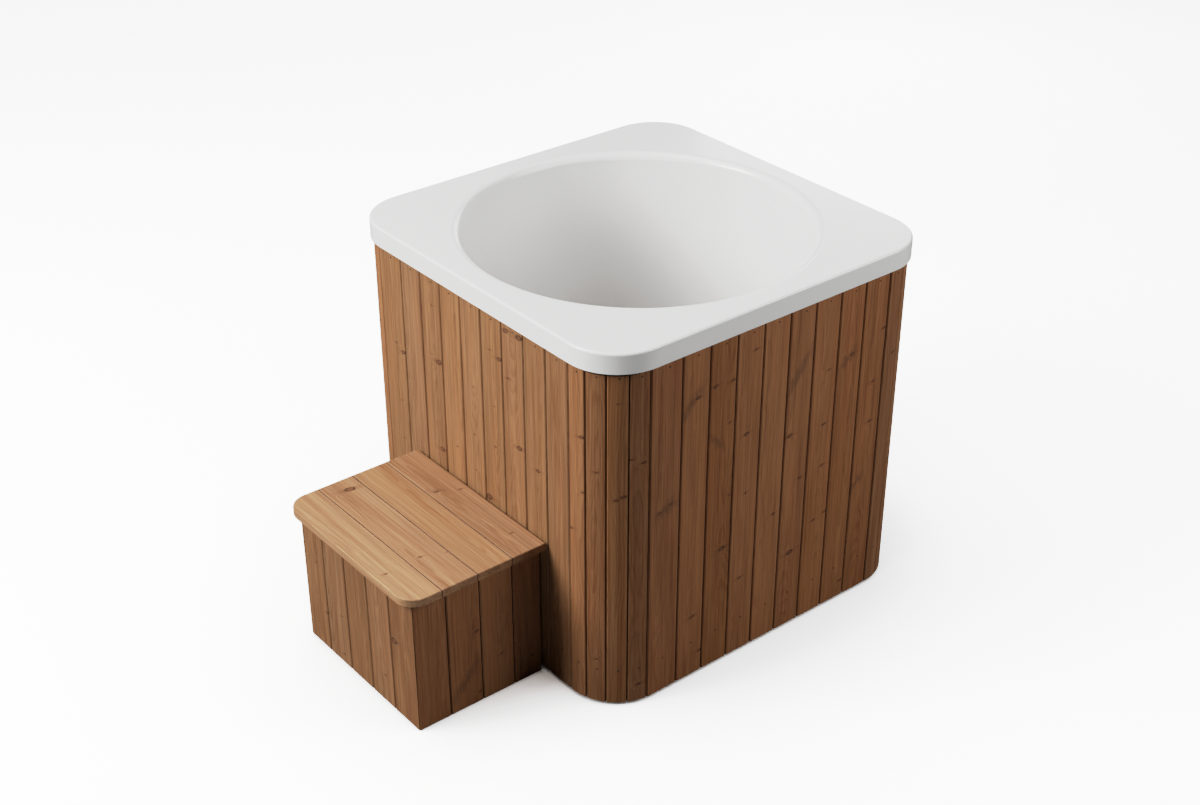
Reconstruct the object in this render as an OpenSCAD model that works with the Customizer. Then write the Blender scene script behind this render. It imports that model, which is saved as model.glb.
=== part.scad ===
// Cold plunge tub: a moulded round basin with a square deck, set in a case of tongued and
// grooved boards on a timber frame. A bottom drain leads to a ball valve at the back, and a
// free-standing boarded step stands in front.
// Millimetres. The origin is on the floor under the middle of the tub, +Z is up, and the
// step stands on the -Y side.

/* [Basin] */
// Side of the square deck
deck_side = 1000; // [970:5:1100]
// Height of the deck above the floor
deck_top = 950; // [850:5:1100]
// Plan radius of the deck's corners
deck_corner_r = 132; // [115:1:140]
// Depth of the deck's turned-down edge
apron_h = 50; // [30:1:70]
// Thickness of the turned-down edge
apron_t = 4; // [3:0.5:6]
// Rounding of the deck's top arris
deck_fillet = 6; // [3:0.5:8]
// Wall of the deck and the bowl
shell_t = 6; // [4:0.5:8]
// Deck left between the bowl's mouth and the deck's side
mouth_margin = 53; // [45:1:60]
// Rounding of the bowl's lip
lip_r = 20; // [15:1:35]
// Slope of the bowl's wall from upright, in degrees
bowl_draft = 5; // [2:0.5:8]
// Rounding between the bowl's wall and its floor
knee_r = 100; // [60:5:140]
// Thickness of the foam round the bowl
foam_t = 30; // [15:1:35]

/* [Wall boards] */
// Width of a wall board from joint to joint
board_pitch = 80.5; // [70:0.5:95]
// Thickness of a wall board
board_t = 15; // [14:0.5:18]
// Height of the wall boards' lower ends above the floor
board_lift = 9; // [5:1:15]
// Gap between the boards' upper ends and the underside of the deck
board_relief = 14; // [5:1:20]
// Amount by which the case's corners are rounder than the deck's
corner_relief = 2; // [0:0.5:5]
// Staves in one corner
corner_staves = 4; // [3:1:5]
// Part of the corner that one stave covers, in degrees
stave_angle = 21.25; // [16:0.25:22]
// Angle before the bend at which the first stave starts
lead_angle = 1.9; // [0:0.1:4]
// Width of the open slot in a wall joint
wall_slot = 2; // [1:0.25:3]
// Bevel beside the slot in a wall joint
wall_bevel = 2.5; // [1:0.25:3.5]
// Length of a board's tongue
tongue_l = 6; // [4:0.5:8]
// Thickness of a board's tongue
tongue_t = 4; // [3:0.5:5]

/* [Frame] */
// Thickness of the bottom rails and formers, and of the studs
rail_t = 45; // [35:1:50]
// Height of the top rails
top_rail_h = 90; // [60:1:110]
// Height of the bottom rails
bottom_rail_h = 45; // [40:1:60]
// Width of a bearer
bearer_w = 48; // [40:1:60]
// Height of a bearer
bearer_h = 98; // [90:1:120]
// Distance from the bottom rails to the outer bearers
bearer_inset = 111.5; // [90:0.5:130]
// Thickness of the panel that carries the bowl
panel_t = 18; // [15:1:24]
// Thickness of the rubber feet
foot_t = 9; // [6:1:15]
// Length of a rubber foot
foot_l = 90; // [60:5:120]

/* [Drain] */
// Height of the drain pipe's middle above the floor
drain_z = 58; // [50:1:60]
// Outer radius of the drain pipe
pipe_r = 20; // [16:0.5:21]
// Wall of the drain pipe
pipe_wall = 3.5; // [2:0.5:4]
// Radius of the elbow's bend
bend_r = 34; // [30:1:38]
// Radius of the drain's flange
flange_r = 42; // [40:1:55]
// Outer radius of the flange's tail
tail_r = 24; // [22:0.5:26]
// Radius of the strainer
strainer_r = 33; // [28:1:36]
// Radius of the valve's ball
ball_r = 21; // [19:0.5:22]
// Radius of the passage through the valve
valve_bore_r = 15; // [12:0.5:16]
// Outer radius of the threaded outlet
outlet_r = 23.9; // [21:0.1:26]
// Length of the threaded outlet
outlet_l = 24; // [15:1:35]
// Reach of the lever from its stem
lever_l = 95; // [70:1:120]

/* [Step] */
// Width of the step's box
step_w = 476; // [420:1:560]
// Depth of the step's box
step_d = 353.5; // [300:0.5:420]
// Height of the tread above the floor
step_h = 387; // [250:1:450]
// Place of the step's middle to the right of the tub's middle
step_shift = 13; // [-60:1:60]
// Gap between the step and the tub
step_gap = 8; // [3:1:40]
// Thickness of the tread
tread_t = 20; // [16:1:28]
// Overhang of the tread at the front and the sides
tread_over = 25; // [10:1:40]
// Plan radius of the tread's front corners
tread_corner_r = 52; // [20:1:80]
// Rounding of the tread's top arris
tread_fillet = 3; // [1:0.5:5]
// Width of a tread board from joint to joint
tread_pitch = 97; // [80:1:120]
// Width of the rear tread board
tread_lead = 93.5; // [80:0.5:120]
// Thickness of the step's wall boards
step_board_t = 15; // [12:0.5:20]
// Width of a front board from joint to joint
step_front_pitch = 94.5; // [80:0.5:110]
// Width of the left front board
step_front_lead = 92; // [80:0.5:110]
// Width of a side board from joint to joint
step_side_pitch = 92.75; // [80:0.25:110]
// Width of the foremost side board
step_side_lead = 90; // [80:0.5:110]
// Width of the open slot in a tread joint
tread_slot = 0.8; // [0.5:0.1:2]
// Bevel beside the slot in a tread joint
tread_bevel = 1.4; // [0.5:0.1:3]
// Side of the step's square posts
step_post = 45; // [35:1:60]
// Thickness of the step's rails and battens
step_rail_t = 22; // [18:1:30]
// Height of the step's rails, and width of its battens
step_rail_h = 45; // [30:1:60]
// Distance from the posts to the middle of a batten
batten_inset = 100; // [60:1:130]
// Height of the step's bottom rails above the floor
step_rail_z = 20; // [10:1:60]
// Thickness of the glides under the step
glide_t = 2; // [2:0.5:6]
// Radius of a glide
glide_r = 15; // [10:1:20]

/* [Hidden] */
$fn = 96;

// Clearances
fit_gap = 0.3;       // round part in a round hole, or curved face by curved face
rim_gap = 0.5;       // wall boards behind the deck's turned-down edge
tongue_fit = 0.2;    // tongue in its groove
back_gap = 0.4;      // behind the tongue, board to board
lip_clear = 2.5;     // top rails off the bowl's lip
turn_gap = 0.1;      // stem in its bore
pipe_clear = 3;      // drain pipe under the bottom rail
through = 1;         // what a cut runs past the face that it opens

// Kinds of board end
JOINT = 0;
MITRE = 1;
PLAIN = 2;
mitre_slot = 1.6;
mitre_slot_depth = 8;
mitre_chamfer = 1.2;
mitre_tilt = 45;

// The case, in plan
clad_face = deck_side / 2 - apron_t - rim_gap;
clad_back = clad_face - board_t;
clad_corner_r = deck_corner_r + corner_relief;
corner_c = clad_face - clad_corner_r;
rail_in = clad_back - rail_t;
mouth_r = deck_side / 2 - mouth_margin;
top_rail_t = clad_back - mouth_r - lip_clear;
bearer_spacing = rail_in - bearer_inset - bearer_w / 2;

// Levels of the tub
bearer_top = foot_t + bearer_h;
panel_top = bearer_top + panel_t;
floor_z = panel_top + shell_t;
deck_under = deck_top - shell_t;
board_end = deck_under - board_relief;
top_rail_z = deck_under - top_rail_h;
bottom_rail_z = drain_z + pipe_r + pipe_clear;
bottom_rail_top = bottom_rail_z + bottom_rail_h;

// Section of the bowl: the lip and the knee are arcs that the wall's slope touches
wall_in = [-cos(bowl_draft), sin(bowl_draft)];
lip_c = [mouth_r, deck_top - lip_r];
lip_end = lip_c + lip_r * wall_in;
knee_z = floor_z + knee_r;
knee_c = [lip_end.x - (knee_r + (lip_end.y - knee_z) * sin(bowl_draft)) / cos(bowl_draft), knee_z];
foam_gap = 0.5;      // foam off the bowl
foam_foot = 10;      // foam above the panel
foam_head = 2;       // foam below the top rails

// Drain
drain_y = bearer_spacing / 2;
gasket_t = 1.5;
flange_t = 5;
flange_lip = 2;      // height of the flange's outer edge
tail_wall = 4;
tail_seat = 2;       // tail's end above the elbow's bend
strainer_t = 2.5;
strainer_hole_r = 2.8;
strainer_rings = [[6, 11], [12, 22]];
locknut_t = 8;
locknut_r = 33;
locknut_lug = 5;
panel_hole_gap = 3;
panel_hole_r = flange_r + panel_hole_gap;
elbow_wall = 4;
tail_socket_l = 18;
pipe_socket_l = 20;
pipe_seat = 4;       // pipe's end from the elbow's bend
tail_end = drain_z + bend_r + tail_seat;
elbow_out = drain_y + bend_r;

// Valve, along the pipe
collar_t = 5;
collar_r = 34;
collar_lip = 2;
valve_standoff = 6;
valve_in = clad_face + collar_t + valve_standoff;
valve_socket_l = 16;
valve_hex_l = 18;
valve_hex_r = 30;
neck_r = 28;         // between the hexagon and the barrel
neck_l = 4;
barrel_r = 31;
seat_in = 13;        // seat rings, from the ball's middle
seat_out = 20;
seat_wall = 3;       // seat rings past the ball
seat_r = ball_r + seat_wall;
insert_l = 8;
tailpiece_hex_l = 12;
ball_y = valve_in + valve_hex_l + neck_l + seat_out;
barrel_end = ball_y + seat_out + insert_l;
outlet_start = barrel_end + tailpiece_hex_l;
outlet_end = outlet_start + outlet_l;

// Stem and lever, above the ball
boss_r = 16;
boss_top = 41.7;
stem_r = 6;
stem_tang = 6;       // thickness of the tang in the ball's slot
tang_depth = 5;
stem_square = 8;
lever_t = 3;
lever_z = drain_z + boss_top + fit_gap;
lever_hub_r = 16;
lever_w = 18;
stop_r = 2.5;
stop_at = 12.5;      // stop pin from the stem's middle
stop_angle = 225;
stop_play = 2;       // degrees between pin and notch
stop_span = asin(stop_r / stop_at) + stop_play;
notch_in = 9;
lever_turn = 90;
nut_t = 5;
nut_r = 8;
stem_over = 2;       // stem past its nut
stem_end = lever_z + lever_t + nut_t + stem_over;
grip_l = 58;
grip_t = 2;          // grip's wall

// Feet
foot_inset = 5;

// Step, in plan and level
step_rear = -clad_face - step_gap;
step_front = step_rear - step_d;
step_left = step_shift - step_w / 2;
step_right = step_shift + step_w / 2;
tread_under = step_h - tread_t;
tread_d = step_d + tread_over;
tread_w = step_w + 2 * tread_over;
step_in_w = step_w - 2 * step_board_t;
batten_x = step_in_w / 2 - step_post - batten_inset;

wall_wood = [0.66, 0.49, 0.35];
step_wood = [0.72, 0.55, 0.40];
frame_wood = [0.80, 0.68, 0.50];
ply = [0.76, 0.64, 0.46];
shell_white = [0.90, 0.90, 0.89];
foam_cream = [0.93, 0.88, 0.68];
rubber_black = [0.08, 0.08, 0.08];
steel = [0.78, 0.78, 0.78];
brass = [0.75, 0.62, 0.34];
pipe_grey = [0.45, 0.46, 0.47];
seat_white = [0.95, 0.95, 0.94];

// Round and flat helpers

module ring(outer_r, inner_r) {
    difference() {
        circle(r = outer_r);
        circle(r = inner_r);
    }
}

// Lays a shape that is drawn upwards along +Y instead
module along_y() {
    rotate([-90, 0, 0]) children();
}

module rounded_square(half, r) {
    square([2 * half, 2 * (half - r)], center = true);
    square([2 * (half - r), 2 * half], center = true);
    for (x = [-1, 1], y = [-1, 1]) translate([x, y] * (half - r)) circle(r = r);
}

// Section of an edge that stands w out from a corner's centre, with a rounded top arris
module edge_section(w, t, fillet) {
    translate([0, -t]) square([w, t - fillet]);
    translate([0, -t]) square([w - fillet, t]);
    translate([w - fillet, -fillet]) circle(r = fillet);
}

// Slab with round corners in plan and a rounded top arris. Its top is at z = 0
module eased_slab(w, d, r, t, fillet) {
    core = [w - 2 * r, d - 2 * r];
    translate([-core.x / 2, -core.y / 2, -t]) cube([core.x, core.y, t]);
    for (q = [0:3]) {
        x = (q == 0 || q == 3 ? 1 : -1) * core.x / 2;
        y = (q < 2 ? 1 : -1) * core.y / 2;
        run = q % 2 == 0 ? core.x : core.y;
        translate([x, y]) rotate(90 * q) {
            rotate_extrude(angle = 90) edge_section(r, t, fillet);
            translate([-run, 0]) rotate([90, 0, 90]) linear_extrude(height = run) edge_section(r, t, fillet);
        }
    }
}

// Boards. Each is drawn in plan as it is seen from outside: x along the face, y into the
// wood. An end is [x, y, tilt, kind], where x and y are the joint's place on the face

// The V and the slot that stay open between two boards, and the gap behind the tongue
module joint_gap(t, slot, bevel) {
    tongue_y = (t - tongue_t) / 2;
    rise = bevel + through;
    polygon([[-slot / 2 - rise, -through], [slot / 2 + rise, -through], [slot / 2, bevel],
             [slot / 2, tongue_y], [-slot / 2, tongue_y], [-slot / 2, bevel]]);
    translate([-back_gap / 2, tongue_y - through / 2]) square([back_gap, t]);
}

module joint_tongue(t) {
    translate([-through, (t - tongue_t) / 2]) square([tongue_l + through, tongue_t]);
}

module joint_groove(t) {
    translate([-through, (t - tongue_t) / 2 - tongue_fit])
        square([tongue_l + through + tongue_fit, tongue_t + 2 * tongue_fit]);
}

// The thin slot on the arris of a mitred corner, with the arris taken off
module mitre_gap(t) {
    translate([-t, -t]) square([2 * t, t + mitre_chamfer]);
    translate([-mitre_slot / 2, -t]) square([mitre_slot, t + mitre_slot_depth]);
    translate([-back_gap / 2, 0]) square([back_gap, 2 * t]);
}

module at_end(end) {
    translate([end[0], end[1]]) rotate(end[2]) children();
}

function end_point(end, depth) = [end[0] - (depth - end[1]) * tan(end[2]), depth];

module board_plan(left, right, t, slot, bevel) {
    difference() {
        polygon([end_point(left, 0), end_point(right, 0), end_point(right, t), end_point(left, t)]);
        for (end = [left, right]) at_end(end) {
            if (end[3] == JOINT) joint_gap(t, slot, bevel);
            if (end[3] == MITRE) mitre_gap(t);
        }
        if (left[3] == JOINT) at_end(left) joint_groove(t);
    }
    if (right[3] == JOINT) at_end(right) joint_tongue(t);
}

// Joints between two ends: the first board takes the lead, the rest the pitch
function joints_between(first, last, lead, pitch) = [
    first,
    for (k = [0:round((last[0] - first[0] - lead) / pitch) - 1]) [first[0] + lead + k * pitch, 0, 0, JOINT],
    last
];

// Tub walls

// How far the corner has bent back from the face at an angle
function arc_drop(angle) = clad_corner_r * (1 - cos(angle));

// A wall runs from the last stave of one corner to the first stave of the next
wall_tilt = corner_staves * stave_angle - lead_angle - 90;
wall_first = [-corner_c + clad_corner_r * sin(wall_tilt), arc_drop(wall_tilt), wall_tilt, JOINT];
wall_last = [corner_c - clad_corner_r * sin(lead_angle), arc_drop(lead_angle), -lead_angle, JOINT];
wall_run = wall_last[0] - wall_first[0];
straight_end = wall_last[0];
wall_lead = wall_run - (round(wall_run / board_pitch) - 1) * board_pitch;
wall_ends = joints_between(wall_first, wall_last, wall_lead, board_pitch);

module wall(side) {
    color(wall_wood) rotate(90 * side) for (i = [0:len(wall_ends) - 2])
        translate([0, -clad_face, board_lift]) linear_extrude(height = board_end - board_lift)
            board_plan(wall_ends[i], wall_ends[i + 1], board_t, wall_slot, wall_bevel);
}

module at_stave_end(angle) {
    rotate(angle) translate([0, -clad_corner_r]) children();
}

function corner_ray(angle) = 2 * clad_corner_r * [sin(angle), -cos(angle)];

module stave_plan(first, last) {
    difference() {
        intersection() {
            ring(clad_corner_r, clad_corner_r - board_t);
            polygon([[0, 0], corner_ray(first), corner_ray(last)]);
        }
        for (angle = [first, last]) at_stave_end(angle) joint_gap(board_t, wall_slot, wall_bevel);
        at_stave_end(first) joint_groove(board_t);
    }
    at_stave_end(last) joint_tongue(board_t);
}

// The corner at the right end of a wall
module corner(side) {
    color(wall_wood) rotate(90 * side) translate([corner_c, -corner_c, board_lift])
        for (i = [0:corner_staves - 1]) linear_extrude(height = board_end - board_lift)
            stave_plan(i * stave_angle - lead_angle, (i + 1) * stave_angle - lead_angle);
}

module drain_hole_in_wall() {
    translate([0, rail_in, drain_z]) along_y() cylinder(h = deck_side, r = pipe_r + through);
}

module front_boards() { wall(0); }
module right_boards() { wall(1); }
module left_boards() { wall(3); }
module back_boards() {
    color(wall_wood) difference() {
        wall(2);
        drain_hole_in_wall();
    }
}

module front_right_staves() { corner(0); }
module back_right_staves() { corner(1); }
module back_left_staves() { corner(2); }
module front_left_staves() { corner(3); }

// Tub frame

module rails(z, h, t) {
    color(frame_wood) for (side = [0:3]) rotate(90 * side)
        translate([-corner_c, -clad_back, z]) cube([corner_c + straight_end, t, h]);
}

// Bent corner pieces that carry the staves
module formers(z, h, t) {
    out_r = clad_corner_r - board_t;
    color(ply) for (side = [0:3]) rotate(90 * side) translate([corner_c, -corner_c, z])
        linear_extrude(height = h) intersection() {
            ring(out_r - fit_gap, out_r - t);
            polygon([[0, 0], corner_ray(-lead_angle), corner_ray(45), corner_ray(90)]);
        }
}

module bottom_rails() { rails(bottom_rail_z, bottom_rail_h, rail_t); }
module bottom_formers() { formers(bottom_rail_z, bottom_rail_h, rail_t); }
module top_rails() { rails(top_rail_z, top_rail_h, top_rail_t); }
module top_formers() { formers(top_rail_z, top_rail_h, top_rail_t); }

module studs() {
    color(frame_wood) for (side = [0:3], x = [-corner_c, straight_end - rail_t]) rotate(90 * side)
        translate([x, -clad_back, bottom_rail_top]) cube([rail_t, rail_t, top_rail_z - bottom_rail_top]);
}

module bearer(y) {
    color(frame_wood) translate([-rail_in, y - bearer_w / 2, foot_t])
        cube([2 * rail_in, bearer_w, bearer_h]);
}

module front_bearer() { bearer(-bearer_spacing); }
module middle_bearer() { bearer(0); }
module rear_bearer() {
    color(frame_wood) difference() {
        bearer(bearer_spacing);
        translate([0, bearer_spacing - bearer_w, drain_z]) along_y()
            cylinder(h = 2 * bearer_w, r = pipe_r + through);
    }
}

module rubber_feet() {
    reach = rail_in - foot_l / 2 - foot_inset;
    color(rubber_black) for (x = [-1, 0, 1], y = [-1, 0, 1])
        translate([x * reach - foot_l / 2, y * bearer_spacing - bearer_w / 2, 0])
            cube([foot_l, bearer_w, foot_t]);
}

module floor_panel() {
    color(ply) translate([0, 0, bearer_top]) linear_extrude(height = panel_t) difference() {
        rounded_square(rail_in - fit_gap, clad_corner_r - board_t - rail_t - fit_gap);
        translate([0, drain_y]) circle(r = panel_hole_r);
    }
}

// Basin

// Right half of the bowl below its lip, grown outwards by e
module bowl_section(e) {
    knee_end = knee_c - (knee_r + e) * wall_in;
    wall_end = lip_c + (lip_r - e) * wall_in;
    polygon([[0, floor_z - e], [knee_c.x, floor_z - e], knee_end, wall_end, [0, wall_end.y]]);
    translate(knee_c) circle(r = knee_r + e);
}

// The same, with the stretch that rolls over into the deck
module mouth_section(e) {
    z = lip_c.y + (lip_r - e) * sin(bowl_draft);
    bowl_section(e);
    difference() {
        translate([0, z]) square([mouth_r, deck_top - z]);
        translate(lip_c) circle(r = lip_r - e);
    }
}

module deck() {
    difference() {
        translate([0, 0, deck_top]) eased_slab(deck_side, deck_side, deck_corner_r, apron_h, deck_fillet);
        translate([0, 0, deck_top - apron_h - through]) linear_extrude(height = apron_h - shell_t + through)
            rounded_square(deck_side / 2 - apron_t, deck_corner_r - apron_t);
        translate([0, 0, deck_under - through]) cylinder(h = shell_t + 2 * through, r = mouth_r);
    }
}

module basin_shell() {
    color(shell_white) difference() {
        union() {
            deck();
            rotate_extrude() difference() {
                mouth_section(shell_t);
                mouth_section(0);
            }
        }
        translate([0, drain_y, panel_top - through])
            cylinder(h = shell_t + 2 * through, r = tail_r + through);
    }
}

module foam_jacket() {
    inner = shell_t + foam_gap;
    foot = panel_top + foam_foot;
    color(foam_cream) rotate_extrude() intersection() {
        difference() {
            bowl_section(inner + foam_t);
            bowl_section(inner);
        }
        translate([0, foot]) square([deck_side, top_rail_z - foam_head - foot]);
    }
}

// Drain

module drain_flange() {
    top = floor_z + gasket_t;
    color(steel) translate([0, drain_y, 0]) difference() {
        union() {
            rotate_extrude() polygon([[0, top], [flange_r, top], [flange_r, top + flange_lip],
                [strainer_r + flange_lip, top + flange_t], [0, top + flange_t]]);
            translate([0, 0, tail_end]) cylinder(h = top - tail_end + through, r = tail_r);
        }
        translate([0, 0, tail_end - through]) cylinder(h = top, r = tail_r - tail_wall);
        translate([0, 0, top + flange_t - strainer_t]) cylinder(h = flange_t, r = strainer_r + fit_gap);
    }
}

module drain_strainer() {
    color(steel) translate([0, drain_y, floor_z + gasket_t + flange_t - strainer_t])
        linear_extrude(height = strainer_t) difference() {
            circle(r = strainer_r);
            for (row = strainer_rings, k = [1:row[0]]) rotate(k * 360 / row[0])
                translate([row[1], 0]) circle(r = strainer_hole_r);
        }
}

module drain_gaskets() {
    color(rubber_black) for (z = [floor_z, panel_top - gasket_t]) translate([0, drain_y, z])
        linear_extrude(height = gasket_t) ring(flange_r - gasket_t, tail_r + fit_gap);
}

module drain_locknut() {
    color(pipe_grey) translate([0, drain_y, panel_top - gasket_t - locknut_t])
        linear_extrude(height = locknut_t) difference() {
            union() {
                circle(r = locknut_r);
                for (a = [0:60:300]) rotate(a) translate([0, -locknut_lug / 2])
                    square([locknut_r + locknut_lug, locknut_lug]);
            }
            circle(r = tail_r + fit_gap);
        }
}

// Quarter bend from the flange's tail down and back into the pipe
module elbow_bend(r) {
    translate([0, elbow_out, drain_z + bend_r]) rotate([90, 0, 90]) rotate(180)
        rotate_extrude(angle = 90) translate([bend_r, 0]) circle(r = r);
}

module drain_elbow() {
    bore_r = pipe_r - pipe_wall;
    color(pipe_grey) difference() {
        union() {
            elbow_bend(pipe_r + elbow_wall - fit_gap);
            translate([0, drain_y, drain_z + bend_r]) cylinder(h = tail_socket_l, r = tail_r + elbow_wall);
            translate([0, elbow_out, drain_z]) along_y()
                cylinder(h = pipe_socket_l, r = pipe_r + elbow_wall);
        }
        elbow_bend(bore_r);
        translate([0, drain_y, drain_z + bend_r]) cylinder(h = tail_socket_l, r = bore_r);
        translate([0, drain_y, tail_end]) cylinder(h = tail_socket_l, r = tail_r + fit_gap);
        translate([0, elbow_out, drain_z]) along_y() cylinder(h = pipe_socket_l, r = bore_r);
        translate([0, elbow_out + pipe_seat, drain_z]) along_y()
            cylinder(h = pipe_socket_l, r = pipe_r + fit_gap);
    }
}

module drain_pipe() {
    start = elbow_out + pipe_seat;
    color(pipe_grey) translate([0, start, drain_z]) along_y()
        linear_extrude(height = valve_in + valve_socket_l - start) ring(pipe_r, pipe_r - pipe_wall);
}

// Plate that closes the hole in the wall round the pipe
module pipe_collar() {
    bore = pipe_r + fit_gap;
    color(steel) translate([0, clad_face, drain_z]) along_y() rotate_extrude()
        polygon([[bore, 0], [collar_r, 0], [collar_r, collar_lip], [pipe_r + collar_t, collar_t],
                 [bore, collar_t]]);
}

// Valve

module on_pipe(y) {
    translate([0, y, drain_z]) along_y() children();
}

module valve_body() {
    color(brass) difference() {
        union() {
            on_pipe(valve_in) cylinder(h = valve_hex_l, r = valve_hex_r, $fn = 6);
            on_pipe(valve_in + neck_l) cylinder(h = barrel_end - valve_in - neck_l, r = neck_r);
            on_pipe(ball_y - seat_out) cylinder(h = 2 * seat_out, r = barrel_r);
            translate([0, ball_y, drain_z]) cylinder(h = boss_top, r = boss_r);
            rotate_about_stem(stop_angle) translate([stop_at, 0, boss_top - through])
                cylinder(h = lever_t + fit_gap + 2 * through, r = stop_r);
        }
        on_pipe(valve_in - through) cylinder(h = valve_socket_l + through, r = pipe_r + fit_gap);
        on_pipe(valve_in) cylinder(h = barrel_end - valve_in, r = valve_bore_r);
        on_pipe(ball_y - seat_out)
            cylinder(h = barrel_end - ball_y + seat_out + through, r = seat_r + fit_gap);
        translate([0, ball_y, drain_z]) cylinder(h = boss_top + through, r = stem_r + turn_gap);
    }
}

module rotate_about_stem(angle) {
    translate([0, ball_y, drain_z]) rotate(angle) children();
}

module valve_seats() {
    color(seat_white) difference() {
        for (y = [-seat_out, seat_in]) on_pipe(ball_y + y)
            linear_extrude(height = seat_out - seat_in) ring(seat_r, valve_bore_r);
        translate([0, ball_y, drain_z]) sphere(r = ball_r + fit_gap);
    }
}

module valve_tailpiece() {
    color(brass) difference() {
        union() {
            on_pipe(barrel_end - insert_l) cylinder(h = insert_l + through, r = seat_r);
            on_pipe(barrel_end) cylinder(h = tailpiece_hex_l, r = barrel_r, $fn = 6);
            on_pipe(outlet_start) cylinder(h = outlet_l, r = outlet_r);
        }
        on_pipe(ball_y) cylinder(h = outlet_end - ball_y + through, r = valve_bore_r);
    }
}

// The valve is drawn shut: the ball's bore lies across the pipe
module valve_ball() {
    slot_floor = ball_r - tang_depth;
    color(steel) translate([0, ball_y, drain_z]) difference() {
        sphere(r = ball_r);
        translate([-ball_r - through, 0, 0]) rotate([0, 90, 0])
            cylinder(h = 2 * (ball_r + through), r = valve_bore_r);
        translate([-ball_r, -stem_tang / 2 - turn_gap, slot_floor - turn_gap])
            cube([2 * ball_r, stem_tang + 2 * turn_gap, ball_r]);
    }
}

module valve_stem() {
    slot_floor = ball_r - tang_depth;
    color(steel) translate([0, ball_y, 0]) {
        intersection() {
            translate([-stem_r, -stem_tang / 2, drain_z + slot_floor])
                cube([2 * stem_r, stem_tang, 2 * tang_depth]);
            translate([0, 0, drain_z]) cylinder(h = boss_top, r = stem_r);
        }
        translate([0, 0, drain_z + ball_r + fit_gap])
            cylinder(h = lever_z - drain_z - ball_r - fit_gap, r = stem_r);
        translate([-stem_square / 2, -stem_square / 2, lever_z - through])
            cube([stem_square, stem_square, lever_t + through]);
        translate([0, 0, lever_z]) cylinder(h = stem_end - lever_z, r = stem_square / 2);
    }
}

// Stretch of a ring round the stem, as a wedge
module notch(first, last) {
    reach = 2 * lever_hub_r;
    middle = (first + last) / 2;
    difference() {
        polygon([[0, 0], for (a = [first, middle, last]) reach * [cos(a), sin(a)]]);
        circle(r = notch_in);
    }
}

module valve_lever() {
    color(steel) translate([0, ball_y, lever_z]) linear_extrude(height = lever_t) difference() {
        union() {
            circle(r = lever_hub_r);
            translate([0, -lever_w / 2]) square([lever_l - lever_w / 2, lever_w]);
            translate([lever_l - lever_w / 2, 0]) circle(r = lever_w / 2);
        }
        square(stem_square + 2 * turn_gap, center = true);
        notch(stop_angle - lever_turn - stop_span, stop_angle + stop_span);
    }
}

module lever_nut() {
    color(steel) translate([0, ball_y, lever_z + lever_t]) difference() {
        cylinder(h = nut_t, r = nut_r, $fn = 6);
        translate([0, 0, -through]) cylinder(h = nut_t + 2 * through, r = stem_square / 2 + turn_gap);
    }
}

// Dipped sleeve on the lever's arm
module lever_grip() {
    start = lever_l - grip_l;
    half = lever_w / 2 + turn_gap;
    end_x = lever_l - lever_w / 2;
    color(rubber_black) translate([0, ball_y, lever_z]) difference() {
        translate([0, 0, -grip_t]) linear_extrude(height = lever_t + 2 * grip_t) {
            translate([start, -half - grip_t]) square([end_x - start, 2 * (half + grip_t)]);
            translate([end_x, 0]) circle(r = half + grip_t);
        }
        translate([0, 0, -turn_gap]) linear_extrude(height = lever_t + 2 * turn_gap) {
            translate([start - through, -half]) square([end_x - start + through, 2 * half]);
            translate([end_x, 0]) circle(r = half);
        }
    }
}

// Step

// Boards laid along X, seen in section: their joints are placed from the tread's front
module step_tread() {
    lead = tread_d - tread_lead - round((tread_d - tread_lead) / tread_pitch - 1) * tread_pitch;
    ends = joints_between([0, 0, 0, PLAIN], [tread_d, 0, 0, PLAIN], lead, tread_pitch);
    full_d = tread_d + tread_corner_r;
    color(step_wood) for (i = [0:len(ends) - 2]) intersection() {
        translate([step_shift, step_rear - tread_d + full_d / 2, step_h])
            eased_slab(tread_w, full_d, tread_corner_r, tread_t, tread_fillet);
        translate([step_shift - tread_w / 2, step_rear - tread_d, step_h]) rotate([90, 0, 90])
            linear_extrude(height = tread_w) mirror([0, 1])
                board_plan(ends[i], ends[i + 1], tread_t, tread_slot, tread_bevel);
    }
}

module step_wall(ends) {
    for (i = [0:len(ends) - 2]) linear_extrude(height = tread_under - glide_t)
        board_plan(ends[i], ends[i + 1], step_board_t, wall_slot, wall_bevel);
}

module step_front_boards() {
    ends = joints_between([step_left, 0, -mitre_tilt, MITRE], [step_right, 0, mitre_tilt, MITRE],
        step_front_lead, step_front_pitch);
    color(step_wood) translate([0, step_front, glide_t]) step_wall(ends);
}

// The right wall is drawn from the front backwards, and the left one mirrors it
module side_boards() {
    ends = joints_between([0, 0, -mitre_tilt, MITRE], [step_d, 0, 0, PLAIN],
        step_side_lead, step_side_pitch);
    color(step_wood) translate([step_w / 2, step_front, glide_t]) rotate(90) step_wall(ends);
}

module step_right_boards() {
    translate([step_shift, 0, 0]) side_boards();
}

module step_left_boards() {
    translate([step_shift, 0, 0]) mirror([1, 0, 0]) side_boards();
}

module step_posts() {
    x_out = step_in_w / 2 - step_post / 2;
    ys = [step_front + step_board_t, step_rear - step_post];
    color(frame_wood) for (x = [-x_out, x_out], y = ys)
        translate([step_shift + x - step_post / 2, y, glide_t])
            cube([step_post, step_post, tread_under - glide_t]);
}

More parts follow.
